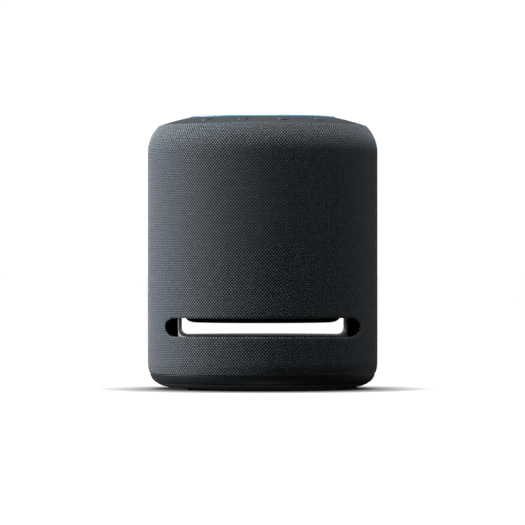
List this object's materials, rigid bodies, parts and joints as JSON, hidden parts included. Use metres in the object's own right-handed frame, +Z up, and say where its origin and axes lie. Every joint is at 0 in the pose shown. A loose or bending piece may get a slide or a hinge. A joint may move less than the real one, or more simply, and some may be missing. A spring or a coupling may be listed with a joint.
{
  "type": "smart speaker",
  "caption": "Knit-covered round smart speaker with a sound slot right through its base, sloped control deck, glowing ring and down-firing woofer.",
  "frame": {"origin": "middle of the round footprint, in the plane that the rubber feet stand on", "axes": "+Z up along the drum's axis; -Y is the front, where the keys are; +X is to the right of someone facing the front"},
  "size_m": [0.175, 0.175, 0.2074],
  "materials": {
    "charcoal_knit": "fine knitted polyester, matt",
    "deck_plastic": "satin moulded plastic",
    "light_lens": "diffusing lens, lit",
    "key_plastic": "satin moulded plastic",
    "black_plastic": "fine moulded texture",
    "base_plastic": "satin moulded plastic",
    "rubber": "matt",
    "cone_paper": "pressed pulp, coated",
    "dome_silk": "coated woven dome",
    "spider_cloth": "resin-treated weave",
    "zinc_steel": "zinc plated",
    "ferrite": "sintered, matt grey",
    "copper_coil": "enamelled winding",
    "circuit_board": "solder mask"
  },
  "bodies": {
    "housing": {"acoustic_enclosure": "black_plastic", "action_switch": "black_plastic", "base_cover": "base_plastic", "base_screw_1": "zinc_steel", "base_screw_2": "zinc_steel", "base_screw_3": "zinc_steel", "bottom_plate": "black_plastic", "chassis": "black_plastic", "connector_panel": "black_plastic", "control_board": "circuit_board", "duct_liner": "black_plastic", "fabric_cover": "charcoal_knit", "foot_front_left": "rubber", "foot_front_right": "rubber", "foot_rear_left": "rubber", "foot_rear_right": "rubber", "inlet_pin_left": "zinc_steel", "inlet_pin_right": "zinc_steel", "left_mid_frame": "black_plastic", "left_mid_magnet": "ferrite", "left_mid_surround": "rubber", "light_ring": "light_lens", "line_in_jack": "black_plastic", "lower_grille": "black_plastic", "main_board": "circuit_board", "mute_switch": "black_plastic", "power_board": "circuit_board", "power_inlet": "black_plastic", "right_mid_frame": "black_plastic", "right_mid_magnet": "ferrite", "right_mid_surround": "rubber", "service_port": "zinc_steel", "top_deck": "deck_plastic", "top_grille": "charcoal_knit", "top_mid_frame": "black_plastic", "top_mid_magnet": "ferrite", "top_mid_surround": "rubber", "transformer": "ferrite", "tweeter_faceplate": "black_plastic", "tweeter_magnet": "ferrite", "upper_grille": "black_plastic", "volume_down_switch": "black_plastic", "volume_up_switch": "black_plastic", "woofer_basket": "zinc_steel", "woofer_magnet": "ferrite", "woofer_pole_piece": "zinc_steel", "woofer_spider": "spider_cloth", "woofer_surround": "rubber", "woofer_top_plate": "zinc_steel", "woofer_trim": "black_plastic"},
    "mute_key": {"mute_button": "key_plastic"},
    "volume_down_key": {"volume_down_button": "key_plastic"},
    "volume_up_key": {"volume_up_button": "key_plastic"},
    "action_key": {"action_button": "key_plastic"},
    "woofer_diaphragm": {"woofer_cone": "cone_paper", "voice_coil": "copper_coil"},
    "right_mid_diaphragm": {"right_mid_cone": "cone_paper"},
    "left_mid_diaphragm": {"left_mid_cone": "cone_paper"},
    "top_mid_diaphragm": {"top_mid_cone": "cone_paper"},
    "tweeter_diaphragm": {"tweeter_dome": "dome_silk"}
  },
  "joints": [
    {"name": "mute_press", "type": "slide", "parent": "housing", "child": "mute_key", "axis": [0, 0, -1], "range_m": [0, 0.0006], "stiffness_N_per_m": 900},
    {"name": "volume_down_press", "type": "slide", "parent": "housing", "child": "volume_down_key", "axis": [0, 0, -1], "range_m": [0, 0.0006], "stiffness_N_per_m": 900},
    {"name": "volume_up_press", "type": "slide", "parent": "housing", "child": "volume_up_key", "axis": [0, 0, -1], "range_m": [0, 0.0006], "stiffness_N_per_m": 900},
    {"name": "action_press", "type": "slide", "parent": "housing", "child": "action_key", "axis": [0, 0, -1], "range_m": [0, 0.0006], "stiffness_N_per_m": 900},
    {"name": "woofer_stroke", "type": "slide", "parent": "housing", "child": "woofer_diaphragm", "axis": [0, 0, -1], "range_m": [-0.004, 0.004], "stiffness_N_per_m": 2500, "deforming": ["woofer_surround", "woofer_spider"]},
    {"name": "right_mid_stroke", "type": "slide", "parent": "housing", "child": "right_mid_diaphragm", "axis": [1, 0, 0], "range_m": [-0.0015, 0.0015], "stiffness_N_per_m": 1500, "deforming": ["right_mid_surround"]},
    {"name": "left_mid_stroke", "type": "slide", "parent": "housing", "child": "left_mid_diaphragm", "axis": [-1, 0, 0], "range_m": [-0.0015, 0.0015], "stiffness_N_per_m": 1500, "deforming": ["left_mid_surround"]},
    {"name": "top_mid_stroke", "type": "slide", "parent": "housing", "child": "top_mid_diaphragm", "axis": [0, 0, 1], "range_m": [-0.0015, 0.0015], "stiffness_N_per_m": 1500, "deforming": ["top_mid_surround"]},
    {"name": "tweeter_stroke", "type": "slide", "parent": "housing", "child": "tweeter_diaphragm", "axis": [0, -1, 0], "range_m": [-0.0003, 0.0003], "stiffness_N_per_m": 1200}
  ]
}
